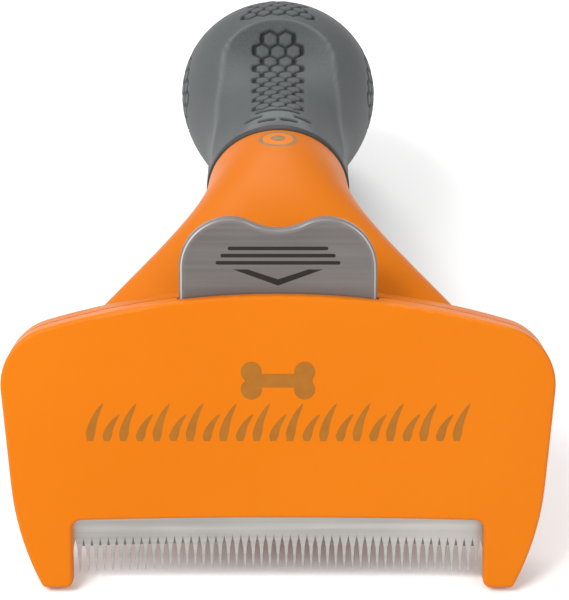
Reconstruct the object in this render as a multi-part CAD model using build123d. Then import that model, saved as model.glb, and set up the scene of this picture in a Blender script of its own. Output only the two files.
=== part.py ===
from build123d import *

import math
import os

# Deshedding tool: a comb blade in a flat head, a sprung ejector plate that pushes the fur off the teeth
# when its button is pressed, and a rubber grip.
# Units are mm. +X is across the head, +Y runs back along the handle and +Z is up. The tool stands as it
# lies on a table, on its two horn tips and the underside of the grip. While it is being made, y = 0 is a
# little behind the collar between neck and grip, and z = 0 is a level just above the table. At the end all of it moves so
# that the origin is the middle of the footprint, on the table.
# Head coordinates are x across, y up the face from its top centre, and depth behind the face.

# Stance of the head
HEAD_LEAN = 25.0            # lean back from upright, degrees
FACE_TOP_Y = -50.4          # origin of the head coordinates, just above the middle of the crown
FACE_TOP_Z = 44.91

# Head
CROWN_TOP = -0.38
CROWN_RADIUS = 138.0        # arched top edge
HEAD_HALF = 46.65           # half width where the crown would meet the sides
SHOULDER_RADIUS = 10.0
SIDE_BREAK = (44.5, -32.5)  # where the straight side starts to curve in towards the horn tip
FACE_LOW = -38.0            # bottom edge of the face, at the middle
HORN_LOW = -50.05           # horn tips
HORN_OUTER = 39.35          # half width at the horn tips
HORN_INNER = 34.4
HORN_THICK = 2.9
EDGE_ARCH = 0.5             # rise of the face's bottom edge at the middle
FACE_WALL = 2.2
FACE_ROUND = 0.7            # rounding round the edge of the face
HORN_TIP_ROUND = 0.9
HORN_INNER_ROUND = 1.2
HORN_ROOT_ROUND = 1.6
RIM_WALL = 1.8
COVER_DEPTH = 5.0           # parting line between front cover and rear housing
PARTING_WIDTH = 0.6         # groove round the head at the parting line
PARTING_DEPTH = 0.4
HEAD_DEPTH = 11.0
BACK_ROUND = 1.8            # rounding round the back of the head
CAVITY_DEPTH = 9.2
HOUSING_LOW = -36.8

# Blade
TOOTH_COUNT = 51
TOOTH_PITCH = 1.392
TOOTH_TIP = 0.14
TOOTH_WAIST = 0.6           # width of a tooth where its taper eases
WAIST_DROP = 2.0            # from the gap roots down to the waists
GAP_ROOT = -41.6            # where the gaps between teeth begin, at the middle
TOOTH_LOW = -47.35          # tooth tips, at the middle
BLADE_HALF = TOOTH_COUNT * TOOTH_PITCH / 2
TIP_ARCH_RADIUS = 800.0     # the teeth stand on a shallow arch
BLADE_TOP = -27.0
BLADE_FRONT = 3.0
BLADE_BACK = 4.0
BLADE_PLAY = 0.3            # clear of the rim at each end of the blade
BOSS_RADIUS = 3.2
BLADE_SCREW_X = (-24.0, 0.0, 24.0)
BLADE_SCREW_Y = -30.0
SMALL_SHANK = 2.4           # diameter
SMALL_SCREW_PLAY = 0.1
BLADE_SCREW_TIP = 1.0       # depth behind the face that the tips reach
RECESS_RADIUS = 1.4
RECESS_DEPTH = 0.6
CLAMP_HALF = 30.0
CLAMP_LOW = -33.2
CLAMP_TOP = -27.0
CLAMP_BACK = 5.0

# Ejector
TRAVEL = 5.0
PLATE_SHEET = 0.6
PLATE_FRONT = 4.1
PLATE_HALF = 33.3
PLATE_LOW = -43.2
PLATE_TOP = -34.2
WEB_HALF = 15.5
WEB_FRONT = 5.2
WEB_BACK = 5.8
WEB_TOP = -14.0
CARRIER_HALF = 14.0
CARRIER_LOW = -24.0
CARRIER_TOP = -4.0
CARRIER_BACK = 8.6
PAD_HALF = 12.0
PAD_LOW = -10.0
WING_HALF = 24.5
WING_LOW = -12.0
WING_TOP = -9.0
RIVET_X = 9.0
RIVET_Y = -19.0
RIVET_RADIUS = 1.0
RIVET_HEAD = 1.6
RIVET_HEAD_HEIGHT = 0.4

# Button
BUTTON_HALF = 16.4
BUTTON_FRONT = 2.5
BUTTON_BACK = 4.7
BUTTON_LOW = -10.0
LOBE_RADIUS = 8.4           # each lobe of the thumb edge runs tangent into a side
LOBE_CENTRE_Y = 3.8
SADDLE_TOP = 10.35
BUTTON_CHAMFER = 0.5
LABEL_INSET = 0.9
LABEL_THICK = 0.4
SLOT_GAP = 0.3
BUTTON_SCREW_X = 8.0
BUTTON_SCREW_Y = -7.0
BUTTON_SCREW_TIP = 3.4
BUTTON_SCREW_HEAD = 2.0
BUTTON_SCREW_SUNK = 1.2
NOTCH_LOW = -6.0
NOTCH_TOP = 4.0

# Guide pins, return springs and bumpers
GUIDE_X = 20.5
GUIDE_DEPTH = 7.2
GUIDE_RADIUS = 1.0
GUIDE_TOP = -4.5
GUIDE_LOW = -29.5
RUNNING_GAP = 0.05
BLOCK_HALF = 3.0
BLOCK_FRONT = 5.6
BLOCK_LOW = -7.0
BLOCK_TOP = -2.6
LEDGE_TOP = -27.0
LEDGE_LOW = -30.5
PLATE_PLAY = 0.5            # clear of the ejector plate where it runs through the housing
STOP_TOP = CARRIER_LOW - TRAVEL - 0.1
STOP_LOW = -31.0
STOP_HALF = 6.0
SPRING_RADIUS = 1.6
SPRING_WIRE = 0.2
SPRING_TURNS = 8
SPRING_END_GAP = 0.02
BUMPER_RADIUS = 1.9

# Cover screws, driven from the back
COVER_SCREWS = [(38.6, -13.0), (38.4, -31.0)]
POST_RADIUS = 2.8
COVER_SHANK = 1.3
COVER_HEAD = 2.2
COVER_HEAD_HEIGHT = 1.4
COVER_SEAT = 9.0            # depth of the face the heads pull on
COVER_SCREW_TIP = 1.4
DRILL_PLAY = 0.2            # drilled this much deeper than the screw reaches
HEAD_PLAY = 0.3             # round a sunk screw head
HOLE_REACH = 40.0           # holes from the back are cut to this depth, through the neck's flare

# Collar and core
COLLAR_RADIUS = 13.05
COLLAR_FRONT = -1.95
COLLAR_BACK = -0.45
COLLAR_ROUND = 0.35
COLLAR_Z = 34.65
SOCKET_RADIUS = 8.0
SOCKET_LENGTH = 22.0
SPIGOT_LENGTH = 20.0
CORE_FIT = 0.05             # clear of the spigot and the cap's stem
CORE_BORE = 3.45
CORE_BORE_LENGTH = 9.0
CORE_SCREW_Y = -10.0
CORE_SCREW_RADIUS = 1.5
CORE_SCREW_HEAD = 2.8
CORE_SCREW_HEAD_HEIGHT = 1.8
CORE_SCREW_SEAT = 24.2
CORE_SCREW_TOP = 33.5
CORE_STATIONS = [(25.0, 31.0, 9.5), (50.0, 25.5, 10.5), (68.0, 15.6, 8.0)]  # y, centre height, radius

# Neck: y, top, bottom, half width and squareness, where 2 is an ellipse
NECK_STATIONS = [
    (COLLAR_FRONT, 47.4, 22.0, 12.65, 2.0),
    (-8.0, 48.8, 21.9, 13.1, 2.05),
    (-16.0, 48.9, 21.4, 14.9, 2.15),
    (-26.0, 47.0, 20.6, 20.3, 2.3),
    (-36.0, 43.0, 19.8, 28.1, 2.5),
    (-46.0, 37.5, 18.8, 36.4, 2.8),
    (-54.0, 33.0, 17.8, 41.5, 3.0),
]
NECK_WALL = 2.4
SECTION_POINTS = 24

# Grip: y, top before the thumb scoop is cut, bottom and half width
BUTT_Y = 79.0
BUTT_Z = 10.9
BUTT_RADIUS = 7.0
GRIP_STATIONS = [
    (COLLAR_BACK, 47.6, 21.6, 13.0),
    (8.0, 47.0, 20.6, 13.0),
    (15.0, 46.4, 19.3, 13.4),
    (22.0, 46.5, 17.2, 15.0),
    (30.0, 47.4, 14.3, 17.3),
    (40.0, 49.3, 10.8, 19.0),
    (50.0, 46.3, 6.8, 18.8),
    (60.0, 39.8, 2.0, 17.9),
    (68.0, 32.6, -1.1, 15.6),
    (74.0, 25.8, -1.3, 11.9),
    (BUTT_Y, BUTT_Z + BUTT_RADIUS, BUTT_Z - BUTT_RADIUS, BUTT_RADIUS),
]
# Thumb scoop: y, floor height at the middle, and rise of the floor 10 mm to the side
SCOOP_STATIONS = [
    (-2.0, 48.3, -4.6),
    (7.0, 46.9, -3.6),
    (13.0, 45.6, -2.8),
    (19.0, 44.3, -1.9),
    (26.0, 43.1, -0.5),
    (31.0, 43.4, 0.8),
    (34.0, 45.2, 1.5),
    (36.5, 49.2, 1.8),
    (38.5, 54.0, 2.0),
]
SCOOP_HALF = 17.0
SCOOP_CEILING = 66.0
CAP_DOME = 2.6
CAP_STEM = 8.0

# Emblem disc let into the neck behind the button
BADGE_Y = -6.8
BADGE_RADIUS = 3.5
BADGE_THICK = 0.4

LEAN = math.radians(HEAD_LEAN)
HEAD = Location(
    Plane(
        origin=(0, FACE_TOP_Y, FACE_TOP_Z),
        x_dir=(1, 0, 0),
        z_dir=(0, -math.cos(LEAN), math.sin(LEAN)),
    )
)


# ---------------------------------------------------------------- helpers


def slab(face, front, back):
    """A flat piece of the head, from one depth behind the face to another."""
    return Pos(0, 0, -back) * extrude(face, back - front)


def block(x_low, x_high, y_low, y_high, front, back):
    """A rectangular piece of the head."""
    face = Pos((x_low + x_high) / 2, (y_low + y_high) / 2) * Rectangle(x_high - x_low, y_high - y_low)
    return slab(face, front, back)


def rod_in(x, y, radius, front, back):
    """A round piece of the head whose axis runs in its depth."""
    return slab(Pos(x, y) * Circle(radius), front, back)


def rod_up(x, depth, radius, low, high):
    """A round piece of the head whose axis runs up the face."""
    return Pos(x, (low + high) / 2, -depth) * Rot(90, 0, 0) * Cylinder(radius, high - low)


def both_sides(shape):
    """The shape and its mirror image across the middle."""
    return [shape, mirror(shape, Plane.YZ)]


def upright(y, height=0.0):
    """A plane across the handle, looking along it, with its y up."""
    return Plane(origin=(0, y, height), x_dir=(1, 0, 0), z_dir=(0, -1, 0))


def cross_recess(radius, depth):
    """A cross drive recess, open at z = 0."""
    bar = Box(2 * radius, 0.4 * radius, depth, align=(Align.CENTER, Align.CENTER, Align.MAX))
    return bar + Rot(0, 0, 90) * bar


def pan_screw(head_radius, head_height, shank_radius, length):
    """A pan head screw along Z, its seat at z = 0 and its head above."""
    head = Pos(0, 0, head_height / 2) * Cylinder(head_radius, head_height)
    head = fillet(head.edges().group_by(Axis.Z)[-1], 0.45 * head_height)
    shank = Pos(0, 0, -length / 2) * Cylinder(shank_radius, length)
    return head + shank - Pos(0, 0, head_height) * cross_recess(0.6 * head_radius, 0.6 * head_height)


# ---------------------------------------------------------------- outlines of the head


def crown_drop(x, radius=CROWN_RADIUS):
    """How far an arch of this radius has dropped at x."""
    return radius - math.sqrt(radius * radius - x * x)


def cover_outline():
    """Front view of the front cover with its two horns."""
    corner = (HEAD_HALF, CROWN_TOP - crown_drop(HEAD_HALF))
    horn_root = (HORN_INNER, FACE_LOW - EDGE_ARCH)
    side = Line(corner, SIDE_BREAK)
    flank = TangentArc(SIDE_BREAK, (HORN_OUTER, HORN_LOW), tangent=side % 1)
    tip = Line((HORN_OUTER, HORN_LOW), (HORN_INNER, HORN_LOW))
    inner = Line((HORN_INNER, HORN_LOW), horn_root)
    crown = ThreePointArc((-corner[0], corner[1]), (0, CROWN_TOP), corner)
    bottom = ThreePointArc((-horn_root[0], horn_root[1]), (0, FACE_LOW), horn_root)
    edges = [crown, bottom]
    for edge in (side, flank, tip, inner):
        edges += both_sides(edge)
    face = make_face(edges)
    rounding = [(corner, SHOULDER_RADIUS), ((HORN_OUTER, HORN_LOW), HORN_TIP_ROUND)]
    rounding += [((HORN_INNER, HORN_LOW), HORN_INNER_ROUND), (horn_root, HORN_ROOT_ROUND)]
    for (x, y), radius in rounding:
        corners = [v for v in face.vertices() if abs(abs(v.X) - x) < 0.01 and abs(v.Y - y) < 0.01]
        face = fillet(corners, radius)
    return face


def above(face, low):
    """The part of a head outline that lies above a level."""
    return face & Pos(0, low + 50) * Rectangle(120, 100)


def below(face, high):
    """The part of a head outline that lies below a level."""
    return face & Pos(0, high - 50) * Rectangle(120, 100)


def button_outline(inset=0.0):
    """Front view of the button: straight sides and a two-lobed thumb edge."""
    middle = BUTTON_HALF - LOBE_RADIUS
    rise = SADDLE_TOP - LOBE_CENTRE_Y
    hollow = (middle * middle + rise * rise - LOBE_RADIUS * LOBE_RADIUS) / (2 * (LOBE_RADIUS - rise))
    reach = LOBE_RADIUS / (LOBE_RADIUS + hollow)
    meet = (middle * (1 - reach), LOBE_CENTRE_Y + (rise + hollow) * reach)
    side = Line((BUTTON_HALF, BUTTON_LOW), (BUTTON_HALF, LOBE_CENTRE_Y))
    lobe = ThreePointArc((BUTTON_HALF, LOBE_CENTRE_Y), (middle, LOBE_CENTRE_Y + LOBE_RADIUS), meet)
    saddle = ThreePointArc((-meet[0], meet[1]), (0, SADDLE_TOP), meet)
    base = Line((-BUTTON_HALF, BUTTON_LOW), (BUTTON_HALF, BUTTON_LOW))
    face = make_face([base, saddle, *both_sides(side), *both_sides(lobe)])
    return offset(face, amount=-inset) if inset else face


def blade_outline():
    """The comb blade: teeth on a shallow arch, with a gap root between each pair."""
    half = BLADE_HALF
    points = [(-half, BLADE_TOP), (half, BLADE_TOP)]
    for tooth in range(TOOTH_COUNT):
        middle = half - (tooth + 0.5) * TOOTH_PITCH
        root = middle + TOOTH_PITCH / 2
        drop = crown_drop(middle, TIP_ARCH_RADIUS)
        points.append((root, GAP_ROOT - crown_drop(root, TIP_ARCH_RADIUS)))
        for side in (1, -1):
            waist = (middle + side * TOOTH_WAIST / 2, GAP_ROOT - WAIST_DROP - drop)
            tip = (middle + side * TOOTH_TIP / 2, TOOTH_LOW - drop)
            points += [waist, tip] if side > 0 else [tip, waist]
    points.append((-half, GAP_ROOT - crown_drop(half, TIP_ARCH_RADIUS)))
    return make_face(Polyline(*points, close=True))


# ---------------------------------------------------------------- head, fixed pieces


def front_cover():
    """Orange front shell with the two horns, the button notch, blade bosses and screw posts."""
    outline = cover_outline()
    walled = above(outline, HOUSING_LOW)
    rim = walled - offset(walled, amount=-RIM_WALL)
    rim -= Pos(0, HOUSING_LOW) * Rectangle(2 * (BLADE_HALF + BLADE_PLAY), 4 * RIM_WALL)
    cover = slab(outline, 0, FACE_WALL)
    cover = fillet(cover.faces().sort_by(Axis.Z)[-1].edges(), FACE_ROUND)
    cover += slab(rim, FACE_WALL, COVER_DEPTH)
    groove = walled - offset(walled, amount=-PARTING_DEPTH)
    cover -= slab(groove, COVER_DEPTH - PARTING_WIDTH, COVER_DEPTH)
    horns = below(outline, HOUSING_LOW) - Pos(0, HOUSING_LOW) * Rectangle(2 * HORN_INNER, 4 * EDGE_ARCH + 3)
    cover += slab(horns, FACE_WALL, HORN_THICK)
    for x in BLADE_SCREW_X:
        cover += rod_in(x, BLADE_SCREW_Y, BOSS_RADIUS, FACE_WALL, BLADE_FRONT)
        cover -= rod_in(x, BLADE_SCREW_Y, SMALL_SHANK / 2, BLADE_SCREW_TIP - DRILL_PLAY, BLADE_FRONT)
    for x, y in COVER_SCREWS:
        for side in (-x, x):
            cover += rod_in(side, y, POST_RADIUS, FACE_WALL, COVER_DEPTH)
            cover -= rod_in(side, y, COVER_SHANK, COVER_SCREW_TIP - DRILL_PLAY, COVER_DEPTH)
    notch_half = BUTTON_HALF + SLOT_GAP
    cover -= block(-notch_half, notch_half, NOTCH_LOW, NOTCH_TOP, BUTTON_FRONT - SLOT_GAP, HEAD_DEPTH)
    return cover


def superellipse(y, top, bottom, half, squareness):
    """A closed section across the handle."""
    middle = (top + bottom) / 2
    height = (top - bottom) / 2
    points = []
    for step in range(SECTION_POINTS):
        angle = 2 * math.pi * (step + 0.5) / SECTION_POINTS
        across = math.cos(angle)
        up = math.sin(angle)
        x = half * math.copysign(abs(across) ** (2 / squareness), across)
        z = height * math.copysign(abs(up) ** (2 / squareness), up)
        points.append((x, y, middle + z))
    return make_face(Spline(*points, periodic=True))


def neck_form(wall=0.0, last=COLLAR_FRONT):
    """The flared neck, or with a wall the hollow inside it, from the head to its last station."""
    sections = []
    for y, top, bottom, half, squareness in NECK_STATIONS:
        if y <= last:
            sections.append(superellipse(y, top - wall, bottom + wall, half - wall, squareness))
    return loft(sections)


def behind(shape, depth):
    """The part of a shape that lies deeper in the head than a plane parallel to the face."""
    space = HEAD * block(-80, 80, -120, 120, depth, depth + 200)
    return shape & space


def badge():
    """A thin disc that follows the top of the neck."""
    neck = neck_form()
    disc = Pos(0, BADGE_Y, COLLAR_Z + 15) * Cylinder(BADGE_RADIUS, 30)
    return (neck & disc) - Pos(0, 0, -BADGE_THICK) * neck


def core_screw_hole():
    """The stepped hole under the neck for the core screw."""
    seat = Pos(0, CORE_SCREW_Y, CORE_SCREW_SEAT / 2) * Cylinder(CORE_SCREW_HEAD + HEAD_PLAY, CORE_SCREW_SEAT)
    shank = Pos(0, CORE_SCREW_Y, CORE_SCREW_TOP / 2) * Cylinder(CORE_SCREW_RADIUS, CORE_SCREW_TOP)
    return seat + shank


def cover_screw_holes():
    """The stepped holes that take the cover screws from the back."""
    holes = []
    for x, y in COVER_SCREWS:
        for side in (-x, x):
            holes.append(rod_in(side, y, COVER_SHANK, COVER_DEPTH, HEAD_DEPTH))
            holes.append(rod_in(side, y, COVER_HEAD + HEAD_PLAY, COVER_SEAT, HOLE_REACH))
    return holes


def rear_shell():
    """The back half of the head, with what guides and stops the ejector."""
    outline = above(cover_outline(), HOUSING_LOW)
    shell = slab(outline, COVER_DEPTH, HEAD_DEPTH)
    shell = fillet(shell.faces().sort_by(Axis.Z)[0].edges(), BACK_ROUND)
    inside = offset(outline, amount=-RIM_WALL)
    shell -= slab(inside, COVER_DEPTH, CAVITY_DEPTH)
    # the ejector plate runs out through the bottom wall
    wall_top = HOUSING_LOW + RIM_WALL
    shell -= block(-HORN_INNER, HORN_INNER, HOUSING_LOW - 1, wall_top, 0, WEB_BACK + PLATE_PLAY)
    for side in (-GUIDE_X, GUIDE_X):
        left = side - BLOCK_HALF
        right = side + BLOCK_HALF
        shell += block(left, right, BLOCK_LOW, BLOCK_TOP, BLOCK_FRONT, CAVITY_DEPTH)
        shell += block(left, right, LEDGE_LOW, LEDGE_TOP, BLOCK_FRONT, CAVITY_DEPTH)
        shell -= rod_up(side, GUIDE_DEPTH, GUIDE_RADIUS, GUIDE_LOW, GUIDE_TOP)
    shell += block(-STOP_HALF, STOP_HALF, STOP_LOW, STOP_TOP, WEB_BACK + PLATE_PLAY, CAVITY_DEPTH)
    for x, y in COVER_SCREWS:
        for side in (-x, x):
            shell += rod_in(side, y, POST_RADIUS, COVER_DEPTH, CAVITY_DEPTH)
    return shell


def rear_housing():
    """Orange back shell of the head in one moulding with the hollow flared neck."""
    flare = HEAD_DEPTH - BACK_ROUND
    housing = HEAD * rear_shell() + behind(neck_form(), flare)
    housing -= behind(neck_form(NECK_WALL, -SOCKET_LENGTH), CAVITY_DEPTH)
    overrun = 4
    socket = Cylinder(SOCKET_RADIUS, SOCKET_LENGTH + overrun)
    housing -= upright(0) * Pos(0, COLLAR_Z, (SOCKET_LENGTH + overrun) / 2 - 2) * socket
    for hole in cover_screw_holes():
        housing -= HEAD * hole
    housing -= core_screw_hole()
    return housing - badge()


def blade():
    """Steel comb blade."""
    comb = slab(blade_outline(), BLADE_FRONT, BLADE_BACK)
    for x in BLADE_SCREW_X:
        comb -= rod_in(x, BLADE_SCREW_Y, SMALL_SHANK / 2 + SMALL_SCREW_PLAY, BLADE_FRONT, BLADE_BACK)
    return comb


def countersink(x):
    """The cone of a flat head screw in the clamp bar."""
    cone = Cone(SMALL_SHANK / 2, SMALL_SHANK, CLAMP_BACK - BLADE_BACK)
    return Pos(x, BLADE_SCREW_Y, -(CLAMP_BACK + BLADE_BACK) / 2) * Rot(180, 0, 0) * cone


def blade_clamp():
    """Bar that presses the blade onto the bosses of the front cover."""
    bar = block(-CLAMP_HALF, CLAMP_HALF, CLAMP_LOW, CLAMP_TOP, BLADE_BACK, CLAMP_BACK)
    for x in BLADE_SCREW_X:
        bar -= countersink(x)
    return bar


def blade_screws():
    """Flat head screws through clamp bar and blade."""
    screws = []
    for x in BLADE_SCREW_X:
        screw = countersink(x) + rod_in(x, BLADE_SCREW_Y, SMALL_SHANK / 2, BLADE_SCREW_TIP, BLADE_BACK)
        recess = Rot(180, 0, 0) * cross_recess(RECESS_RADIUS, RECESS_DEPTH)
        screws.append(screw - Pos(x, BLADE_SCREW_Y, -CLAMP_BACK) * recess)
    return screws


def cover_screws():
    """Pan head screws from the back, through the rear housing into the front cover."""
    screw = pan_screw(COVER_HEAD, COVER_HEAD_HEIGHT, COVER_SHANK, COVER_SEAT - COVER_SCREW_TIP)
    screws = []
    for x, y in COVER_SCREWS:
        for side in (-x, x):
            screws.append(Pos(side, y, -COVER_SEAT) * Rot(180, 0, 0) * screw)
    return screws


def guide_pin(side):
    """Steel pin that a carrier wing slides on."""
    return rod_up(side * GUIDE_X, GUIDE_DEPTH, GUIDE_RADIUS, GUIDE_LOW, GUIDE_TOP)


def return_spring(side):
    """Compression spring between a carrier wing and the ledge of the rear housing."""
    low = LEDGE_TOP + SPRING_WIRE + SPRING_END_GAP
    length = WING_LOW - SPRING_WIRE - SPRING_END_GAP - low
    coil = Helix(pitch=length / SPRING_TURNS, height=length, radius=SPRING_RADIUS)
    wire = sweep(Plane(coil @ 0, z_dir=coil % 0) * Circle(SPRING_WIRE), path=coil, is_frenet=True)
    return Pos(side * GUIDE_X, low, -GUIDE_DEPTH) * Rot(-90, 0, 0) * wire


def travel_bumpers():
    """Rubber rings that the wings return against."""
    ring = rod_up(0, 0, BUMPER_RADIUS, WING_TOP, BLOCK_LOW) - rod_up(0, 0, GUIDE_RADIUS, WING_TOP, BLOCK_LOW)
    return [Pos(side * GUIDE_X, 0, -GUIDE_DEPTH) * ring for side in (-1, 1)]


# ---------------------------------------------------------------- ejector, moving pieces


def ejector_button():
    """Thumb button, chamfered round its front edge and recessed for its label plate."""
    button = slab(button_outline(), BUTTON_FRONT, BUTTON_BACK)
    front = button.faces().sort_by(Axis.Z)[-1]
    button = chamfer(front.edges(), BUTTON_CHAMFER)
    button -= slab(button_outline(LABEL_INSET), BUTTON_FRONT, BUTTON_FRONT + LABEL_THICK)
    for side in (-BUTTON_SCREW_X, BUTTON_SCREW_X):
        button -= rod_in(side, BUTTON_SCREW_Y, SMALL_SHANK / 2, BUTTON_SCREW_TIP - DRILL_PLAY, BUTTON_BACK)
    return button


def button_label_plate():
    """Thin brushed metal plate on the front of the button."""
    return slab(button_outline(LABEL_INSET), BUTTON_FRONT, BUTTON_FRONT + LABEL_THICK)


def slider_carrier():
    """Moulded slider that joins the button to the ejector plate and rides on the guide pins."""
    carrier = block(-CARRIER_HALF, CARRIER_HALF, CARRIER_LOW, CARRIER_TOP, WEB_BACK, CARRIER_BACK)
    carrier += block(-PAD_HALF, PAD_HALF, PAD_LOW, CARRIER_TOP, BUTTON_BACK, WEB_BACK)
    carrier += block(-WING_HALF, WING_HALF, WING_LOW, WING_TOP, WEB_BACK, CARRIER_BACK)
    for side in (-1, 1):
        bore = GUIDE_RADIUS + RUNNING_GAP
        carrier -= rod_up(side * GUIDE_X, GUIDE_DEPTH, bore, WING_LOW, WING_TOP)
        carrier -= rod_in(side * RIVET_X, RIVET_Y, RIVET_RADIUS, WEB_BACK, CARRIER_BACK)
        x = side * BUTTON_SCREW_X
        clear = SMALL_SHANK / 2 + SMALL_SCREW_PLAY
        sunk = BUTTON_SCREW_HEAD + HEAD_PLAY
        carrier -= rod_in(x, BUTTON_SCREW_Y, clear, BUTTON_BACK, CARRIER_BACK)
        carrier -= rod_in(x, BUTTON_SCREW_Y, sunk, CARRIER_BACK - BUTTON_SCREW_SUNK, CARRIER_BACK)
    return carrier


def ejector_plate():
    """Steel stripper plate behind the teeth, stepped back over the clamp bar to reach the carrier."""
    half = PLATE_HALF
    low = PLATE_LOW - crown_drop(half, TIP_ARCH_RADIUS)
    edge = ThreePointArc((-half, low), (0, PLATE_LOW), (half, low))
    frame = Polyline((half, low), (half, PLATE_TOP), (-half, PLATE_TOP), (-half, low))
    plate = slab(make_face([edge, frame]), PLATE_FRONT, PLATE_FRONT + PLATE_SHEET)
    plate += block(-WEB_HALF, WEB_HALF, PLATE_TOP - PLATE_SHEET, PLATE_TOP, PLATE_FRONT, WEB_BACK)
    plate += block(-WEB_HALF, WEB_HALF, PLATE_TOP - PLATE_SHEET, WEB_TOP, WEB_FRONT, WEB_BACK)
    for side in (-RIVET_X, RIVET_X):
        plate -= rod_in(side, RIVET_Y, RIVET_RADIUS, WEB_FRONT, WEB_BACK)
    return plate


def ejector_rivets():
    """Rivets that hold the ejector plate on the carrier."""
    rivets = []
    for x in (-RIVET_X, RIVET_X):
        rivet = rod_in(x, RIVET_Y, RIVET_RADIUS, WEB_FRONT, CARRIER_BACK)
        rivet += rod_in(x, RIVET_Y, RIVET_HEAD, WEB_FRONT - RIVET_HEAD_HEIGHT, WEB_FRONT)
        rivet += rod_in(x, RIVET_Y, RIVET_HEAD, CARRIER_BACK, CARRIER_BACK + RIVET_HEAD_HEIGHT)
        rivets.append(rivet)
    return rivets


def button_screws():
    """Screws from the back of the carrier into the button."""
    seat = CARRIER_BACK - BUTTON_SCREW_SUNK
    height = BUTTON_SCREW_SUNK - SMALL_SCREW_PLAY
    screw = pan_screw(BUTTON_SCREW_HEAD, height, SMALL_SHANK / 2, seat - BUTTON_SCREW_TIP)
    return [Pos(x, BUTTON_SCREW_Y, -seat) * Rot(180, 0, 0) * screw for x in (-BUTTON_SCREW_X, BUTTON_SCREW_X)]


# ---------------------------------------------------------------- handle


def collar_ring():
    """Dark lip between the orange neck and the grip."""
    width = COLLAR_BACK - COLLAR_FRONT
    ring = Cylinder(COLLAR_RADIUS, width) - Cylinder(SOCKET_RADIUS, width)
    ring = fillet(ring.edges().filter_by(GeomType.CIRCLE).sort_by(SortBy.RADIUS)[-2:], COLLAR_ROUND)
    return upright((COLLAR_FRONT + COLLAR_BACK) / 2, COLLAR_Z) * ring


def core_body():
    """The tapered part of the core that the rubber is moulded on."""
    sections = [upright(COLLAR_BACK, COLLAR_Z) * Circle(SOCKET_RADIUS + 1)]
    sections += [upright(y, height) * Circle(radius) for y, height, radius in CORE_STATIONS]
    sections.append(upright(BUTT_Y, BUTT_Z) * Circle(BUTT_RADIUS - 2))
    return loft(sections)


def grip_core():
    """Stiff core: a spigot that plugs into the neck and a tapered body in the rubber."""
    length = SPIGOT_LENGTH + COLLAR_BACK
    spigot = upright(COLLAR_BACK, COLLAR_Z) * Pos(0, 0, length / 2) * Cylinder(SOCKET_RADIUS - CORE_FIT, length)
    bore = upright(BUTT_Y, BUTT_Z) * Pos(0, 0, CORE_BORE_LENGTH / 2) * Cylinder(CORE_BORE, CORE_BORE_LENGTH)
    return core_body() + spigot - bore - core_screw_hole()


def thumb_scoop():
    """The space above the grip that leaves its thumb saddle."""
    sections = []
    for y, floor, rise in SCOOP_STATIONS:
        edge = floor + rise * (SCOOP_HALF / 10) ** 2
        bottom = ThreePointArc((-SCOOP_HALF, edge), (0, floor), (SCOOP_HALF, edge))
        frame = Polyline(
            (SCOOP_HALF, edge),
            (SCOOP_HALF, SCOOP_CEILING),
            (-SCOOP_HALF, SCOOP_CEILING),
            (-SCOOP_HALF, edge),
        )
        sections.append(upright(y) * make_face([bottom, frame]))
    return loft(sections)


def grip_overmold():
    """Rubber grip: narrow behind the collar, swelling to a palm bulb, with a thumb scoop on top."""
    sections = []
    for y, top, bottom, half in GRIP_STATIONS:
        sections.append(upright(y, (top + bottom) / 2) * Ellipse(half, (top - bottom) / 2))
    return loft(sections) - thumb_scoop() - core_body()


def butt_cap():
    """Domed plug in the end of the grip."""
    radius = (BUTT_RADIUS * BUTT_RADIUS + CAP_DOME * CAP_DOME) / (2 * CAP_DOME)
    ball = Pos(0, 0, CAP_DOME - radius) * Sphere(radius)
    dome = ball & Pos(0, 0, 10) * Cylinder(2 * BUTT_RADIUS, 20)
    stem = Pos(0, 0, -CAP_STEM / 2) * Cylinder(CORE_BORE - CORE_FIT, CAP_STEM)
    return Location(Plane(origin=(0, BUTT_Y, BUTT_Z), x_dir=(1, 0, 0), z_dir=(0, 1, 0))) * (dome + stem)


def core_screw():
    """Screw from under the neck that locks the core."""
    length = CORE_SCREW_TOP - CORE_SCREW_SEAT
    screw = pan_screw(CORE_SCREW_HEAD, CORE_SCREW_HEAD_HEIGHT, CORE_SCREW_RADIUS, length)
    return Pos(0, CORE_SCREW_Y, CORE_SCREW_SEAT) * Rot(180, 0, 0) * screw


# ---------------------------------------------------------------- assembly


def in_head(shape):
    """Carries a head piece, or a list of identical ones, to its place."""
    if isinstance(shape, list):
        return Compound([HEAD * solid for piece in shape for solid in piece.solids()])
    return HEAD * shape


def nodes():
    """Every named piece, in the place it is made in."""
    return {
        "front_cover": in_head(front_cover()),
        "rear_housing": rear_housing(),
        "neck_badge": badge(),
        "blade": in_head(blade()),
        "blade_clamp": in_head(blade_clamp()),
        "blade_screws": in_head(blade_screws()),
        "cover_screws": in_head(cover_screws()),
        "guide_pin_left": in_head(guide_pin(-1)),
        "guide_pin_right": in_head(guide_pin(1)),
        "return_spring_left": in_head(return_spring(-1)),
        "return_spring_right": in_head(return_spring(1)),
        "travel_bumpers": in_head(travel_bumpers()),
        "ejector_button": in_head(ejector_button()),
        "button_label_plate": in_head(button_label_plate()),
        "slider_carrier": in_head(slider_carrier()),
        "ejector_plate": in_head(ejector_plate()),
        "ejector_rivets": in_head(ejector_rivets()),
        "button_screws": in_head(button_screws()),
        "collar_ring": collar_ring(),
        "grip_core": grip_core(),
        "grip_overmold": grip_overmold(),
        "butt_cap": butt_cap(),
        "core_screw": core_screw(),
    }


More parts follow.
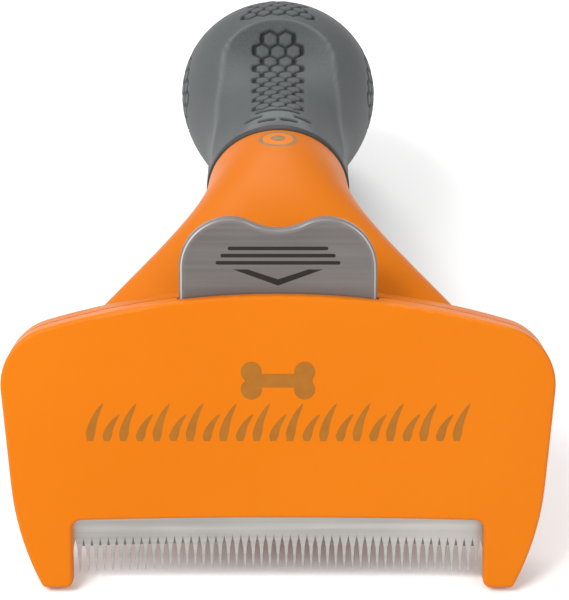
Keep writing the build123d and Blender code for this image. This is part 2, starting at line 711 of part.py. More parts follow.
def main():
    pieces = nodes()
    whole = Compound(children=[Compound(list(piece.solids())) for piece in pieces.values()]).bounding_box()
    shift = Pos(0, -(whole.min.Y + whole.max.Y) / 2, -whole.min.Z)
    os.makedirs("parts", exist_ok=True)
    for name, piece in pieces.items():
        export_step(shift * piece, f"parts/{name}.step")
    print("size", whole.size)
    print("shift", shift.position)


main()
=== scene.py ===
import math

import bpy
import numpy as np
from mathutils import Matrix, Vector


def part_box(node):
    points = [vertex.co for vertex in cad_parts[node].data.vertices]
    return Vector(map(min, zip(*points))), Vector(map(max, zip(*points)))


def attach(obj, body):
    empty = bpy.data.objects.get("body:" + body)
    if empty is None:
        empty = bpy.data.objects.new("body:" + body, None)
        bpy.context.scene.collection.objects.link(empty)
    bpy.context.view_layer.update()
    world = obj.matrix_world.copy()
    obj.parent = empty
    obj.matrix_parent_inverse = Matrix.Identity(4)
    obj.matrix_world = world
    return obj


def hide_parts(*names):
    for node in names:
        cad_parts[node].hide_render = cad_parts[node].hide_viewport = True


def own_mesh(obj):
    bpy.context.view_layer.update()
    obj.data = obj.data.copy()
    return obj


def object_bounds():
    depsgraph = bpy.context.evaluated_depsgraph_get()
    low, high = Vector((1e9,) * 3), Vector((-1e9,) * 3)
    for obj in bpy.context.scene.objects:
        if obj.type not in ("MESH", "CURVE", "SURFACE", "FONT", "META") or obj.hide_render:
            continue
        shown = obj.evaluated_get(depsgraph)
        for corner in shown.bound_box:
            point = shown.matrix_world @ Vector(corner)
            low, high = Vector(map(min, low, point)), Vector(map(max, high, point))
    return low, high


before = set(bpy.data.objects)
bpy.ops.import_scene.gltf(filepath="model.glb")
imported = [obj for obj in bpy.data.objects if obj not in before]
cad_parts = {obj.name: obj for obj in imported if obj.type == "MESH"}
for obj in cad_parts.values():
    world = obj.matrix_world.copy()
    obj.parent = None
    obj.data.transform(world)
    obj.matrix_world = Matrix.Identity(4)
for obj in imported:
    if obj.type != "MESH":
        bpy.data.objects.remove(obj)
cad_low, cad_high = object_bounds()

MM = 0.001
# Sizes are in mm. Heights and y are counted so that the collar's centre lies at these two values,
# and START_Y and LIFT carry them to the collar of the frame.
COLLAR_Y = -1.2
COLLAR_Z = 34.65
START_Y = sum(corner.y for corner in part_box("collar_ring")) / 2 / MM - COLLAR_Y
LIFT = sum(corner.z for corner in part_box("collar_ring")) / 2 / MM - COLLAR_Z

# Head coordinates are x across, v up the face from its top centre and depth behind the face
LEAN = math.radians(25)
FACE_TOP = (START_Y - 50.4, LIFT + 44.91)
FACE_OUT = Vector((0, -math.cos(LEAN), math.sin(LEAN)))
BUTTON_FRONT = 2.5
BUTTON_CHAMFER_LINE = 0.24  # depth behind the button's front where the painted highlight on its chamfer ends
FILM_PROUD = 0.02           # prints stand this far out of the surface
FILM_THICK = 0.03

# Grip sections: y, top before the scoop, bottom and half width
GRIP = np.array([
    (-0.45, 47.6, 21.6, 13.0),
    (8.0, 47.0, 20.6, 13.0),
    (15.0, 46.4, 19.3, 13.4),
    (22.0, 46.5, 17.2, 15.0),
    (30.0, 47.4, 14.3, 17.3),
    (40.0, 49.3, 10.8, 19.0),
    (50.0, 46.3, 6.8, 18.8),
    (60.0, 39.8, 2.0, 17.9),
    (68.0, 32.6, -1.1, 15.6),
    (74.0, 25.8, -0.9, 11.9),
    (79.0, 17.9, 3.9, 7.0),
])
# Thumb scoop: y, floor height and rise of the floor SCOOP_SIDE to the side
SCOOP_SIDE = 10
SCOOP = np.array([
    (-2.0, 48.3, -5.9),
    (7.0, 46.9, -5.8),
    (13.0, 45.6, -4.65),
    (19.0, 44.3, -2.9),
    (26.0, 43.1, -0.3),
    (31.5, 43.3, 1.0),
    (35.0, 45.2, 1.6),
    (37.6, 49.2, 1.9),
    (39.6, 54.0, 2.1),
])
SCOOP_END = 39.6
SCOOP_SLOPE = 2.4           # the floor climbs this steeply past its end
RIDGE_SOFTNESS = 0.5
CORE_SHARE = 0.68           # the skin's two ends turn in to this share of its section

# Studs moulded in the rubber
STUD_PITCH = 2.85
STUD_ROW = STUD_PITCH * math.sqrt(3) / 2
STUD_SPREAD = 1.05          # the rows on top are this much wider than regular hexagons make them
STUD_GROOVE = 0.5
STUD_GROOVE_HALF = 0.27
STUD_DOME = 0.1
STUD_END_DEPTH = 0.35       # how much deeper and wider the groove is at a row's two ends
STUD_END_WIDTH = 0.75
STUD_END_FROM = 0.3         # the end starts this share of the pitch out from the stud's middle
STUD_END_FADE = 0.5
STUD_END_HEIGHT = 1.1       # and narrows to nothing this share of half the pitch above and below
FAR_AWAY = 9.0              # a distance past every stud
TINY = 1e-12                # keeps a normal of no length from dividing by zero
TOP_ANGLE = math.radians(48)  # the studs on top lie within this angle of the grip's crown
STRIP_START = 9.3
STRIP_ROWS = [3, 2] * 6
PALM_START = 40.0
PALM_ROWS = [5, 4, 3, 4, 3, 2]
PALM_SPREAD = 0.97          # the palm's rows are this share of their width and of their spacing
PALM_SQUEEZE = 0.74
SIDE_MIDDLE = 46.0
SIDE_ROWS = [3, 4, 5, 6, 7, 6, 7, 6, 5, 4, 3]
SIDE_HALF_ROUND = 12        # the side patches lie within this much round the grip and along it
SIDE_HALF_ALONG = 16
# Grip grooves beside the collar: y, and where they start and end either side of the middle
COLLAR_GROOVES = [(2.2, 0.9, 3.3), (4.3, 3.4, 5.7), (6.5, 0.0, 3.8)]
COLLAR_GROOVE_DEPTH = 0.7
COLLAR_GROOVE_HALF = 0.45
RIDGE_HIGHLIGHT_REACH = 0.36          # how far from the scoop's edge a painted highlight lightens the rubber

# Mesh of the grip: fine rows up to FINE_END and coarse ones to the butt, and a fine strip over the top
FINE_ROWS = 400
FINE_END = 61
COARSE_ROWS = 40
TOP_STRIP = 9.0
TOP_STRIP_SHARE = 0.55
TOP_COLUMNS = 62
# Columns from the strip's edge to the underside: their share of that arc and their number
SIDE_COLUMNS = [(0.18, 10), (0.64, 100), (1, 30)]

# Coil springs, in head coordinates
SPRING_RADIUS = 1.6
SPRING_WIRE = 0.2
SPRING_TURNS = 8
SPRING_LOW = -26.78
SPRING_HIGH = -12.22
SPRING_DEPTH = 7.2
SPRING_ACROSS = 20.5
TURN_STEPS = 28
WIRE_SIDES = 8

# Print on the face: a bone and a band of hairs
BONE_V = -14.6
BONE_REACH = 4.4
BONE_LOBE = 1.75
BONE_SPREAD = 1.45
BONE_BAR = 1.15
HAIRS = 23
HAIR_BAND = 30.4
HAIR_FOOT = -24.8
HAIR_HEIGHTS = (6.4, 4.6)
HAIR_LEAN = 2.2
HAIR_WIDTH = 1.75
HAIR_STEPS = 10
HAIR_LEAN_START = 0.35      # the foot stands this share of the lean to the other side
HAIR_FOOT_WIDTH = 0.55
HAIR_SWELL = 5

# Print on the button: the corners of an open arrow, and the level and half width of each bar
ARROW = [(-7.4, 3.6), (-5.0, 3.6), (0, 1.95), (5.0, 3.6), (7.4, 3.6), (0, 0.9)]
BARS = [(4.7, 10.0), (5.9, 9.2), (7.1, 8.0)]
BAR_THICK = 0.6
ARC_STEPS = 16

# Neck disc: inner radius of its ring and radius of its dot
BADGE_RING = 2.75
BADGE_DOT = 1.35

# Camera in the same mm as the lists above, lights and floor in metres and watts
CAMERA_Y = -380.67
CAMERA_Z = 270.59
CAMERA_TILT = 55.5
CAMERA_LENS = 146.2
CAMERA_SENSOR = 36
CAMERA_SHIFT = 0.0108
LIGHT_AIM = Vector((0, -0.02, 0.03))
LIGHTS = [
    ("key", (-0.55, -0.35, 0.75), 0.5, 8.5),
    ("fill", (0.6, -0.7, 0.5), 0.8, 4.0),
    ("back", (-0.1, 0.6, 0.7), 0.5, 4.0),
]
SURROUND = 0.62
FLOOR_HALF = 3.0
FLOOR_GAP = 0.02            # mm below the object's lowest point


# ---------------------------------------------------------------- meshes


def at(x, v, depth):
    """A point of the head in the frame's metres."""
    y = FACE_TOP[0] + v * math.sin(LEAN) + depth * math.cos(LEAN)
    z = FACE_TOP[1] + v * math.cos(LEAN) - depth * math.sin(LEAN)
    return Vector((x, y, z)) * MM


def mesh_piece(name, points, faces, body, material, smooth=True):
    """A mesh that rides on a CAD body."""
    mesh = bpy.data.meshes.new(name)
    mesh.from_pydata([tuple(p) for p in points], [], faces)
    mesh.validate()
    mesh.update()
    if smooth:
        mesh.shade_smooth()
    else:
        mesh.shade_flat()
    mesh.materials.append(material)
    piece = bpy.data.objects.new(name, mesh)
    bpy.context.collection.objects.link(piece)
    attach(piece, body)
    return piece


def film(outlines, front, thick):
    """Points and faces of flat figures lying on the head at a depth."""
    points = []
    faces = []
    for outline in outlines:
        start = len(points)
        count = len(outline)
        points += [at(x, v, front) for x, v in outline]
        points += [at(x, v, front + thick) for x, v in outline]
        faces.append([start + i for i in range(count)])
        faces.append([start + count + i for i in reversed(range(count))])
        for i in range(count):
            j = (i + 1) % count
            faces.append([start + i, start + count + i, start + count + j, start + j])
    return points, faces


def curve_through(stations, column, where):
    """Natural cubic spline through one column of a list of stations."""
    y = stations[:, 0]
    value = stations[:, column]
    count = len(y)
    gap = np.diff(y)
    matrix = np.eye(count)
    right = np.zeros(count)
    for i in range(1, count - 1):
        matrix[i, i - 1] = gap[i - 1]
        matrix[i, i] = 2 * (gap[i - 1] + gap[i])
        matrix[i, i + 1] = gap[i]
        right[i] = 6 * ((value[i + 1] - value[i]) / gap[i] - (value[i] - value[i - 1]) / gap[i - 1])
    bend = np.linalg.solve(matrix, right)
    where = np.clip(where, y[0], y[-1])
    k = np.clip(np.searchsorted(y, where) - 1, 0, count - 2)
    a = (y[k + 1] - where) / gap[k]
    b = 1 - a
    curved = ((a ** 3 - a) * bend[k] + (b ** 3 - b) * bend[k + 1]) * gap[k] ** 2 / 6
    return a * value[k] + b * value[k + 1] + curved


def soft_lower(a, b, softness):
    """The lower of two heights, blended where they are close."""
    near = np.maximum(softness - np.abs(a - b), 0) / softness
    return np.minimum(a, b) - near * near * softness / 4


def scoop_floor(y, x):
    """Height of the thumb scoop's floor."""
    floor = curve_through(SCOOP, 1, y) + np.maximum(y - SCOOP_END, 0) * SCOOP_SLOPE
    return floor + curve_through(SCOOP, 2, y) * (x / SCOOP_SIDE) ** 2


def hex_distance(across, along, centres):
    """Distance from the nearest stud's edge, below 0 on the stud, and 1 where that is a row's outer end."""
    nearest = np.full(across.shape, FAR_AWAY)
    end = np.zeros(across.shape)
    for u, s, last in centres:
        du = np.abs(across - u)
        ds = np.abs(along - s)
        distance = np.maximum(du, du / 2 + ds * math.sqrt(3) / 2) - STUD_PITCH / 2
        closer = distance < nearest
        beyond = np.sign(last) * (across - u) - STUD_PITCH * STUD_END_FROM
        outside = np.clip(beyond / STUD_END_FADE, 0, 1) * abs(last)
        outside *= np.clip(STUD_END_HEIGHT - ds / (STUD_PITCH / 2), 0, 1)
        nearest = np.where(closer, distance, nearest)
        end = np.where(closer, outside, end)
    return nearest, end


def stud_relief(distance, end, dome):
    """Studs with a groove round each, heavier where end is 1."""
    half = STUD_GROOVE_HALF * (1 + STUD_END_WIDTH * end)
    groove = STUD_GROOVE * (1 + STUD_END_DEPTH * end) * np.exp(-(distance / half) ** 2)
    inside = np.clip(-distance / (STUD_PITCH / 2), 0, 1)
    return dome * np.sqrt(inside) - groove


def stud_rows(start, rows):
    """Staggered rows of studs: across, along, and -1 or 1 for the first and last of a row."""
    centres = []
    for row, count in enumerate(rows):
        for i in range(count):
            last = (i == count - 1) - (i == 0)
            centres.append(((i - (count - 1) / 2) * STUD_PITCH, start + row * STUD_ROW, last))
    return centres


def grip_angles(half):
    """Angles round the grip from its top to its underside, closer together where studs are."""
    strip = np.minimum(TOP_STRIP, TOP_STRIP_SHARE * half)
    top = np.arcsin(np.outer(strip / half, np.linspace(0, 1, TOP_COLUMNS)))
    rest = []
    start = 0
    for end, columns in SIDE_COLUMNS:
        rest.append(np.linspace(start, end, columns)[1:])
        start = end
    edge = top[:, -1:]
    return np.concatenate([top, edge + (math.pi - edge) * np.concatenate(rest)], axis=1)


def grip_relief(y, x, angle, radius, along):
    """How far the studs and grooves stand out of the grip's plain surface."""
    first = np.interp(STRIP_START, y[:, 0], along)
    palm = np.interp(PALM_START, y[:, 0], along)
    patches = [(first, STRIP_ROWS, STUD_SPREAD, 1.0), (palm, PALM_ROWS, PALM_SPREAD, PALM_SQUEEZE)]
    on_top = angle < TOP_ANGLE
    relief = np.zeros(x.shape)
    down = np.broadcast_to(along[:, None], x.shape)[on_top]
    for start, rows, spread, squeeze in patches:
        distance, end = hex_distance(x[on_top] / spread, (down - start) / squeeze, stud_rows(0.0, rows))
        relief[on_top] += stud_relief(distance, end, STUD_DOME)
    around = (angle - math.pi / 2) * radius
    deep = y - SIDE_MIDDLE
    on_side = (np.abs(around) < SIDE_HALF_ROUND) & (np.abs(deep) < SIDE_HALF_ALONG)
    side_start = -(len(SIDE_ROWS) - 1) / 2 * STUD_ROW
    distance, end = hex_distance(around[on_side], deep[on_side], stud_rows(side_start, SIDE_ROWS))
    relief[on_side] += stud_relief(distance, 0.0, 0.0)
    for middle, start, end in COLLAR_GROOVES:
        off = np.hypot(np.maximum(np.maximum(x - end, start - x), 0), y - middle)
        relief -= COLLAR_GROOVE_DEPTH * np.exp(-(off / COLLAR_GROOVE_HALF) ** 2) * on_top
    return relief


def grip_half():
    """Points of the grip's right half, collar to butt and top to underside, and two shares at each.

    The first share is how deep in a groove the point lies, the second how near the scoop's edge; the skin's
    paint turns them into painted shade in the grooves and a painted highlight along the edge.
    """
    fine = np.linspace(GRIP[0, 0], FINE_END, FINE_ROWS)
    coarse = np.linspace(FINE_END, GRIP[-1, 0], COARSE_ROWS)[1:]
    rows = np.concatenate([fine, coarse])
    half = curve_through(GRIP, 3, rows)
    top = curve_through(GRIP, 1, rows)
    bottom = curve_through(GRIP, 2, rows)
    angle = grip_angles(half)
    y = np.broadcast_to(rows[:, None], angle.shape)
    x = half[:, None] * np.sin(angle)
    z = ((top + bottom) / 2)[:, None] + ((top - bottom) / 2)[:, None] * np.cos(angle)
    above = z - scoop_floor(y, x)
    # share for the painted highlight along the scoop's edge, on the grip's upper half only
    ridge_highlight = np.exp(-(above / RIDGE_HIGHLIGHT_REACH) ** 2) * (np.cos(angle) > 0)
    z = soft_lower(z, z - above, RIDGE_SOFTNESS)
    along = np.concatenate([[0], np.cumsum(np.hypot(np.diff(rows), np.diff(z[:, 0])))])
    points = np.stack([x, y, z], axis=2)
    down = np.gradient(points, axis=0)
    round_it = np.gradient(points, axis=1)
    normal = np.cross(round_it, down)
    normal /= np.linalg.norm(normal, axis=2, keepdims=True) + TINY
    from_middle = points - points.mean(axis=1, keepdims=True)
    outward = np.sign(np.sum(normal * from_middle, axis=2, keepdims=True))
    radius = ((half + (top - bottom) / 2) / 2)[:, None]
    relief = grip_relief(y, x, angle, radius, along)
    moved = points + normal * outward * relief[:, :, None]
    moved[:, 0, 0] = 0
    moved[:, -1, 0] = 0
    return moved, np.clip(-relief / STUD_GROOVE, 0, 1), ridge_highlight


def grip_skin(material):
    """Rubber skin of the grip, in place of the plain moulding."""
    right, *shares = grip_half()
    left = right[:, -2:0:-1].copy()
    left[:, :, 0] *= -1
    grid = np.concatenate([right, left], axis=1)
    ends = []
    for row in (grid[:1], grid[-1:]):
        middle = row.mean(axis=1, keepdims=True)
        ends.append(middle + (row - middle) * CORE_SHARE)
    grid = np.concatenate([ends[0], grid, ends[1]], axis=0)
    grid[:, :, 1] += START_Y
    grid[:, :, 2] += LIFT
    rows, columns = grid.shape[:2]
    faces = []
    for i in range(rows - 1):
        for j in range(columns):
            k = (j + 1) % columns
            faces.append((i * columns + j, i * columns + k, (i + 1) * columns + k, (i + 1) * columns + j))
    skin = mesh_piece("grip_skin", grid.reshape(-1, 3) * MM, faces, "tool", material)
    for name, share in zip(("groove_shade", "ridge_highlight"), shares):
        share = np.concatenate([share, share[:, -2:0:-1]], axis=1)
        share = np.concatenate([share[:1], share, share[-1:]], axis=0)
        skin.data.attributes.new(name, "FLOAT", "POINT").data.foreach_set("value", share.ravel())
    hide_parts("grip_overmold")


def spring_tube(name, node, side, material):
    """Coil spring of round wire, in place of the CAD spring."""
    across = SPRING_ACROSS * side
    steps = TURN_STEPS * SPRING_TURNS
    points = []
    for step in range(steps + 1):
        turn = 2 * math.pi * SPRING_TURNS * step / steps
        level = SPRING_LOW + (SPRING_HIGH - SPRING_LOW) * step / steps
        for corner in range(WIRE_SIDES):
            angle = 2 * math.pi * corner / WIRE_SIDES
            reach = SPRING_RADIUS + SPRING_WIRE * math.cos(angle)
            x = across + reach * math.cos(turn)
            v = level + SPRING_WIRE * math.sin(angle)
            points.append(at(x, v, SPRING_DEPTH + reach * math.sin(turn)))
    faces = []
    for step in range(steps):
        for corner in range(WIRE_SIDES):
            near = step * WIRE_SIDES + corner
            far = step * WIRE_SIDES + (corner + 1) % WIRE_SIDES
            faces.append((near, far, far + WIRE_SIDES, near + WIRE_SIDES))
    faces.append(list(range(WIRE_SIDES)))
    faces.append([steps * WIRE_SIDES + corner for corner in reversed(range(WIRE_SIDES))])
    spring = mesh_piece(name, points, faces, "tool", material)
    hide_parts(node)
    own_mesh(spring)


# ---------------------------------------------------------------- printed figures


def tuft(x, height):
    """Outline of one tapered, curved hair."""
    left = []
    right = []
    for step in range(HAIR_STEPS + 1):
        t = step / HAIR_STEPS
        across = x + HAIR_LEAN * (t * t - HAIR_LEAN_START)
        swell = HAIR_FOOT_WIDTH + (1 - HAIR_FOOT_WIDTH) * min(t * HAIR_SWELL, 1)
        half = HAIR_WIDTH / 2 * math.sqrt(max(1 - t, 0)) * swell
        left.append((across - half, HAIR_FOOT + height * t))
        right.append((across + half, HAIR_FOOT + height * t))
    return left[:-1] + right[::-1]


def bone():
    """Outline of a plain bone: four lobes that meet at the notches and run into the bar."""
    notch = -math.acos(math.sqrt(BONE_LOBE * BONE_LOBE - BONE_SPREAD * BONE_SPREAD) / BONE_LOBE)
    meet = math.pi + math.asin((BONE_SPREAD - BONE_BAR) / BONE_LOBE)
    quarter = []
    for step in range(ARC_STEPS + 1):
        angle = notch + (meet - notch) * step / ARC_STEPS
        across = BONE_REACH + BONE_LOBE * math.cos(angle)
        quarter.append((across, BONE_SPREAD + BONE_LOBE * math.sin(angle)))
    top = quarter + [(-x, v) for x, v in reversed(quarter)][:-1]
    whole = top[1:] + [(-x, -v) for x, v in top]
    return [(x, BONE_V + v) for x, v in whole]


def face_print(material):
    """A bone over a band of hairs, tone on tone, on the front of the head."""
    figures = [bone()]
    for i in range(HAIRS):
        spot = (i - (HAIRS - 1) / 2) / ((HAIRS - 1) / 2)
        figures.append(tuft(HAIR_BAND * spot, HAIR_HEIGHTS[i % 2]))
    points, faces = film(figures, -FILM_PROUD, FILM_THICK)
    mesh_piece("face_print", points, faces, "tool", material, smooth=False)


def bar(level, half):
    """Outline of a bar with round ends."""
    ends = []
    steps = ARC_STEPS // 2
    for side in (1, -1):
        for step in range(steps + 1):
            angle = side * math.pi / 2 - math.pi * step / steps
            across = side * half + side * BAR_THICK / 2 * abs(math.cos(angle))
            ends.append((across, level + BAR_THICK / 2 * math.sin(angle)))
    return ends


def button_marks(material):
    """A pressing arrow and three bars on the button's plate."""
    figures = [ARROW] + [bar(level, half) for level, half in BARS]
    points, faces = film(figures, BUTTON_FRONT - FILM_PROUD, FILM_THICK)
    mesh_piece("button_marks", points, faces, "ejector", material, smooth=False)


# ---------------------------------------------------------------- materials


class Paint:
    """A principled material with short calls for its nodes."""

    def __init__(self, name, colour, rough, metal=0.0):
        self.material = bpy.data.materials.new(name)
        self.material.use_nodes = True
        self.tree = self.material.node_tree
        self.shader = self.tree.nodes["Principled BSDF"]
        self.shader.inputs["Base Color"].default_value = (*colour, 1)
        self.shader.inputs["Roughness"].default_value = rough
        self.shader.inputs["Metallic"].default_value = metal
        self.coordinates = self.tree.nodes.new("ShaderNodeTexCoord").outputs["Object"]
        self.height = None

    def set(self, **values):
        for name, value in values.items():
            self.shader.inputs[name.replace("_", " ")].default_value = value
        return self

    def node(self, kind, inputs=None, **settings):
        made = self.tree.nodes.new(kind)
        for name, value in settings.items():
            setattr(made, name, value)
        for key, value in (inputs or {}).items():
            if isinstance(value, bpy.types.NodeSocket):
                self.tree.links.new(value, made.inputs[key])
            else:
                made.inputs[key].default_value = value
        return made

    def noise(self, scale, detail=3.0, rough=0.5, stretch=(1, 1, 1)):
        """Noise with its size in 1/m, stretched along the object's axes."""
        mapped = self.node("ShaderNodeMapping", {"Vector": self.coordinates, "Scale": stretch})
        made = self.node(
            "ShaderNodeTexNoise",
            {"Vector": mapped.outputs[0], "Scale": scale, "Detail": detail, "Roughness": rough},
        )
        return made.outputs["Fac"]

    def math(self, operation, *values, clamp=False):
        made = self.node("ShaderNodeMath", dict(enumerate(values)), operation=operation)
        made.use_clamp = clamp
        return made.outputs[0]

    def dot(self, vector, axis):
        made = self.node("ShaderNodeVectorMath", {0: vector, 1: tuple(axis)}, operation="DOT_PRODUCT")
        return made.outputs["Value"]

    def ramp(self, value, low, high, start=0.0, end=1.0):
        """Maps a value's span onto another."""
        made = self.node(
            "ShaderNodeMapRange",
            {"Value": value, "From Min": low, "From Max": high, "To Min": start, "To Max": end},
        )
        return made.outputs[0]

    def mix(self, share, first, second):
        made = self.node("ShaderNodeMix", data_type="RGBA")
        for socket, value in ((made.inputs[0], share), (made.inputs[6], first), (made.inputs[7], second)):
            if isinstance(value, bpy.types.NodeSocket):
                self.tree.links.new(value, socket)
            else:
                socket.default_value = value if isinstance(value, float) else (*value, 1)
        return made.outputs[2]

    def colour(self, socket):
        self.tree.links.new(socket, self.shader.inputs["Base Color"])
        return self

    def rough(self, socket):
        self.tree.links.new(socket, self.shader.inputs["Roughness"])
        return self

    def bump(self, height, distance, strength=1.0):
        """Bump with its depth in mm."""
        values = {"Height": height, "Distance": distance * MM, "Strength": strength}
        made = self.node("ShaderNodeBump", values)
        if self.height is not None:
            self.tree.links.new(self.height, made.inputs["Normal"])
        self.height = made.outputs[0]
        self.tree.links.new(self.height, self.shader.inputs["Normal"])
        return self


ORANGE = (0.595, 0.150, 0.0014)
ORANGE_DEEP = (0.572, 0.140, 0.0008)
INK = (0.285, 0.105, 0.012)


def orange_plastic(name, tone, shine):
    """Satin moulded plastic with faint flow clouds and a fine texture, all darkened by tone as painted
    shade.
    """
    paint = Paint(name, ORANGE, 0.42)
    clouds = paint.noise(28.0, 2.0)
    deep, light = (tuple(c * tone for c in colour) for colour in (ORANGE_DEEP, ORANGE))
    paint.colour(paint.mix(paint.ramp(clouds, 0.3, 0.7), deep, light))
    paint.rough(paint.ramp(paint.noise(160.0, 3.0), 0.3, 0.7, 0.38, 0.47))
    paint.bump(paint.noise(2600.0, 3.0), 0.008, 0.5)
    paint.set(IOR=1.45, Specular_IOR_Level=shine)
    return paint.material


def ink_paint(name, colour):
    """Printed ink, faintly cloudy."""
    paint = Paint(name, colour, 0.45)
    light = tuple(min(c * 1.12, 1) for c in colour)
    paint.colour(paint.mix(paint.ramp(paint.noise(500.0, 3.0), 0.35, 0.65), colour, light))
    paint.bump(paint.noise(3200.0, 2.0), 0.004, 0.5)
    paint.set(Specular_IOR_Level=0.15)
    return paint.material


def brushed_metal(name, colour, rough, stretch, streak=0.22, depth=0.004):
    """Metal with fine straight scratches, cut to a depth in mm."""
    paint = Paint(name, colour, rough, 1.0)
    lines = paint.noise(1300.0, 3.0, 0.6, stretch)
    broad = paint.noise(70.0, 2.0, 0.5)
    dark = tuple(c * (1 - streak) for c in colour)
    light = tuple(min(c * (1 + streak * 0.6), 1) for c in colour)
    paint.colour(paint.mix(paint.ramp(lines, 0.3, 0.7), dark, light))
    wear = paint.ramp(broad, 0.3, 0.7, rough - 0.04, rough + 0.05)
    paint.rough(paint.math("ADD", paint.ramp(lines, 0.25, 0.75, -0.05, 0.05), wear))
    if depth:
        paint.bump(lines, depth, 0.5)
    return paint.material


def button_body():
    """Grey button with a painted highlight: a fine bright line along the inner half of its chamfer."""
    paint = Paint("button_body", (0.15, 0.142, 0.138), 0.42, 0.2)
    normal = paint.node("ShaderNodeNewGeometry").outputs["Normal"]
    facing = paint.dot(normal, FACE_OUT)
    over_low = paint.math("GREATER_THAN", facing, 0.45)
    tilted = paint.math("MULTIPLY", over_low, paint.math("LESS_THAN", facing, 0.9))
    line_low = at(0, 0, BUTTON_FRONT + BUTTON_CHAMFER_LINE).dot(FACE_OUT)
    proud = paint.math("GREATER_THAN", paint.dot(paint.coordinates, FACE_OUT), line_low)
    lines = paint.noise(900.0, 3.0, 0.6, (0.08, 1, 1))
    grey = paint.mix(paint.ramp(lines, 0.3, 0.7), (0.135, 0.128, 0.124), (0.16, 0.152, 0.148))
    # painted highlight: the chamfer's inner half is painted as a bright line, brighter where it faces
    # sideways; its outer half stays near the body's grey
    side = paint.ramp(paint.math("ABSOLUTE", paint.dot(normal, (1, 0, 0))), 0.15, 0.5)
    bright = paint.mix(side, (0.18, 0.165, 0.158), (0.44, 0.42, 0.39))
    chamfer_glint = paint.mix(proud, (0.16, 0.14, 0.135), bright)
    paint.colour(paint.mix(tilted, grey, chamfer_glint))
    paint.bump(lines, 0.005, 0.4)
    return paint.material


def grip_rubber():
    """Matt rubber with a spark-eroded grain, painted shade in the stud grooves and a painted highlight
    along the scoop's edge.
    """
    paint = Paint("grip_rubber", (0.062, 0.067, 0.068), 0.66)
    grain = paint.noise(2300.0, 4.0, 0.6)
    clouds = paint.noise(45.0, 3.0)
    dust = paint.ramp(paint.math("ADD", grain, paint.ramp(clouds, 0.3, 0.7, -0.12, 0.12)), 0.25, 0.75)
    skin = paint.mix(dust, (0.047, 0.052, 0.053), (0.077, 0.083, 0.085))
    # painted highlight: the rubber is painted a lighter grey along the scoop's edge
    ridge_highlight = paint.node("ShaderNodeAttribute", attribute_name="ridge_highlight").outputs["Fac"]
    skin = paint.mix(paint.math("MULTIPLY", ridge_highlight, 0.7), skin, (0.12, 0.128, 0.13))
    # painted shade: the stud grooves are painted near black, darker the deeper they are
    groove_shade = paint.node("ShaderNodeAttribute", attribute_name="groove_shade").outputs["Fac"]
    paint.colour(paint.mix(paint.ramp(groove_shade, 0.1, 0.9), skin, (0.012, 0.013, 0.014)))
    paint.rough(paint.ramp(grain, 0.3, 0.7, 0.54, 0.72))
    paint.bump(grain, 0.045, 0.75)
    paint.bump(paint.noise(520.0, 2.0), 0.03, 0.35)
    paint.set(Sheen_Weight=0.03, Sheen_Roughness=0.5, Specular_IOR_Level=0.3)
    return paint.material


def dark_plastic(name, colour, rough=0.42):
    """Dark moulded plastic with a light texture."""
    paint = Paint(name, colour, rough)
    grain = paint.noise(1500.0, 3.0)
    light = tuple(c * 1.35 for c in colour)
    paint.colour(paint.mix(paint.ramp(grain, 0.3, 0.7), colour, light))
    paint.rough(paint.ramp(paint.noise(220.0, 2.0), 0.3, 0.7, rough - 0.06, rough + 0.08))
    paint.bump(grain, 0.015, 0.5)
    return paint.material


def badge_paint():
    """Neck disc: an olive ring and a dot on orange."""
    centre = sum((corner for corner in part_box("neck_badge")), Vector()) / 2
    paint = Paint("badge_paint", ORANGE, 0.4)
    inputs = {0: paint.coordinates, 1: tuple(-centre)}
    offset = paint.node("ShaderNodeVectorMath", inputs, operation="ADD").outputs[0]
    flat = paint.node("ShaderNodeVectorMath", {0: offset, 1: (1, 1, 0)}, operation="MULTIPLY").outputs[0]
    reach = paint.node("ShaderNodeVectorMath", {0: flat}, operation="LENGTH").outputs["Value"]
    ring = paint.math("GREATER_THAN", reach, BADGE_RING * MM)
    dot = paint.math("LESS_THAN", reach, BADGE_DOT * MM)
    print_share = paint.math("ADD", ring, dot, clamp=True)
    olive = paint.mix(paint.ramp(paint.noise(700.0, 3.0), 0.3, 0.7), (0.21, 0.12, 0.05), (0.27, 0.16, 0.07))
    paint.colour(paint.mix(print_share, ORANGE, olive))
    paint.bump(paint.noise(2600.0, 3.0), 0.008, 0.5)
    paint.set(Specular_IOR_Level=0.15)
    return paint.material


def finish_node(node, material):
    """Gives a CAD node its material."""
    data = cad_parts[node].data
    data.materials.clear()
    data.materials.append(material)


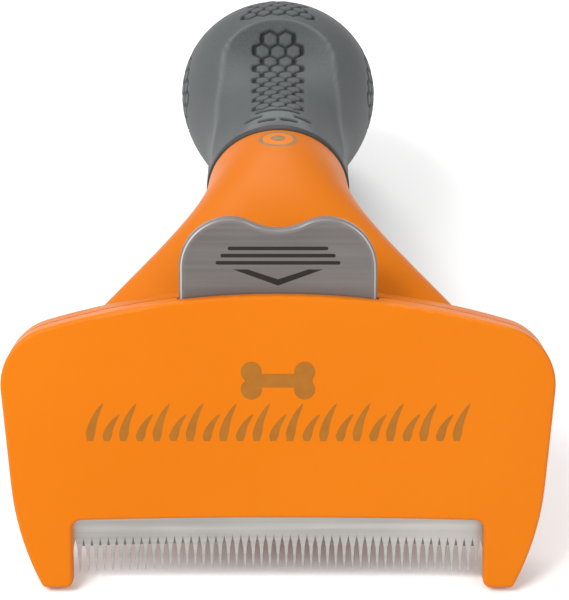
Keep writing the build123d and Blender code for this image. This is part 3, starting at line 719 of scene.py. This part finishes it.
def finish_frame():
    """Materials for every CAD node that is shown."""
    steel = brushed_metal("plain_steel", (0.50, 0.49, 0.47), 0.34, (0.05, 1, 1))
    screw = brushed_metal("screw_steel", (0.46, 0.46, 0.46), 0.3, (1, 1, 1), 0.12)
    blade = brushed_metal("blade_steel", (0.58, 0.56, 0.53), 0.36, (0.012, 1, 1), 0.1, 0.0)
    label = brushed_metal("button_plate", (0.215, 0.198, 0.188), 0.42, (0.012, 1, 1), 0.06, 0.0)
    looks = {
        # tone is painted shade: the rear housing's neck faces the lights more, so its plastic is painted
        # darker than the cover's
        "front_cover": orange_plastic("cover_plastic", 0.98, 0.15),
        "rear_housing": orange_plastic("housing_plastic", 0.89, 0.12),
        "neck_badge": badge_paint(),
        "blade": blade,
        "blade_clamp": steel,
        "guide_pin_left": steel,
        "guide_pin_right": steel,
        "ejector_plate": brushed_metal("plate_steel", (0.32, 0.31, 0.30), 0.4, (0.05, 1, 1)),
        "ejector_rivets": screw,
        "blade_screws": screw,
        "cover_screws": screw,
        "button_screws": screw,
        "core_screw": screw,
        "travel_bumpers": dark_plastic("bumper_rubber", (0.02, 0.02, 0.02), 0.7),
        "ejector_button": button_body(),
        "button_label_plate": label,
        "slider_carrier": dark_plastic("carrier_plastic", (0.05, 0.05, 0.05)),
        "collar_ring": dark_plastic("collar_plastic", (0.016, 0.017, 0.016), 0.6),
        "grip_core": dark_plastic("core_plastic", (0.035, 0.035, 0.036), 0.5),
        "butt_cap": dark_plastic("cap_plastic", (0.06, 0.063, 0.065), 0.5),
    }
    for node, material in looks.items():
        finish_node(node, material)


# ---------------------------------------------------------------- stage


def floor_piece():
    """A wide pale floor."""
    paint = Paint("floor_paint", (0.86, 0.86, 0.86), 0.6)
    mesh = bpy.data.meshes.new("floor")
    corners = [(x * FLOOR_HALF, y * FLOOR_HALF, 0) for x, y in ((-1, -1), (1, -1), (1, 1), (-1, 1))]
    mesh.from_pydata(corners, [], [(0, 1, 2, 3)])
    mesh.materials.append(paint.material)
    floor = bpy.data.objects.new("floor", mesh)
    floor.location.z = cad_low.z - FLOOR_GAP * MM
    bpy.context.collection.objects.link(floor)


def soft_light(name, place, size, power):
    """A square soft light aimed at the head."""
    lamp = bpy.data.lights.new(name, "AREA")
    lamp.shape = "SQUARE"
    lamp.size = size
    lamp.energy = power
    light = bpy.data.objects.new(name, lamp)
    light.location = place
    aim = LIGHT_AIM - Vector(place)
    light.rotation_euler = aim.to_track_quat("-Z", "Y").to_euler()
    bpy.context.collection.objects.link(light)


def studio():
    """White surround, lights and camera."""
    scene = bpy.context.scene
    world = bpy.data.worlds.new("studio")
    world.use_nodes = True
    background = world.node_tree.nodes["Background"]
    background.inputs["Color"].default_value = (1, 1, 1, 1)
    background.inputs["Strength"].default_value = SURROUND
    scene.world = world
    scene.view_settings.view_transform = "Standard"
    floor_piece()
    for name, place, size, power in LIGHTS:
        soft_light(name, place, size, power)
    lens = bpy.data.cameras.new("camera")
    lens.sensor_width = CAMERA_SENSOR
    lens.lens = CAMERA_LENS
    lens.shift_x = CAMERA_SHIFT
    lens.clip_start = 0.01
    camera = bpy.data.objects.new("camera", lens)
    camera.location = (0, (START_Y + CAMERA_Y) * MM, (LIFT + CAMERA_Z) * MM)
    camera.rotation_euler = (math.radians(CAMERA_TILT), 0, 0)
    bpy.context.collection.objects.link(camera)
    scene.camera = camera


# ---------------------------------------------------------------- the tool


finish_frame()
grip_skin(grip_rubber())
coil = brushed_metal("spring_steel", (0.42, 0.42, 0.43), 0.3, (1, 1, 1), 0.1)
spring_tube("spring_left", "return_spring_left", -1, coil)
spring_tube("spring_right", "return_spring_right", 1, coil)
face_print(ink_paint("face_ink", INK))
button_marks(ink_paint("button_ink", (0.018, 0.016, 0.015)))
studio()
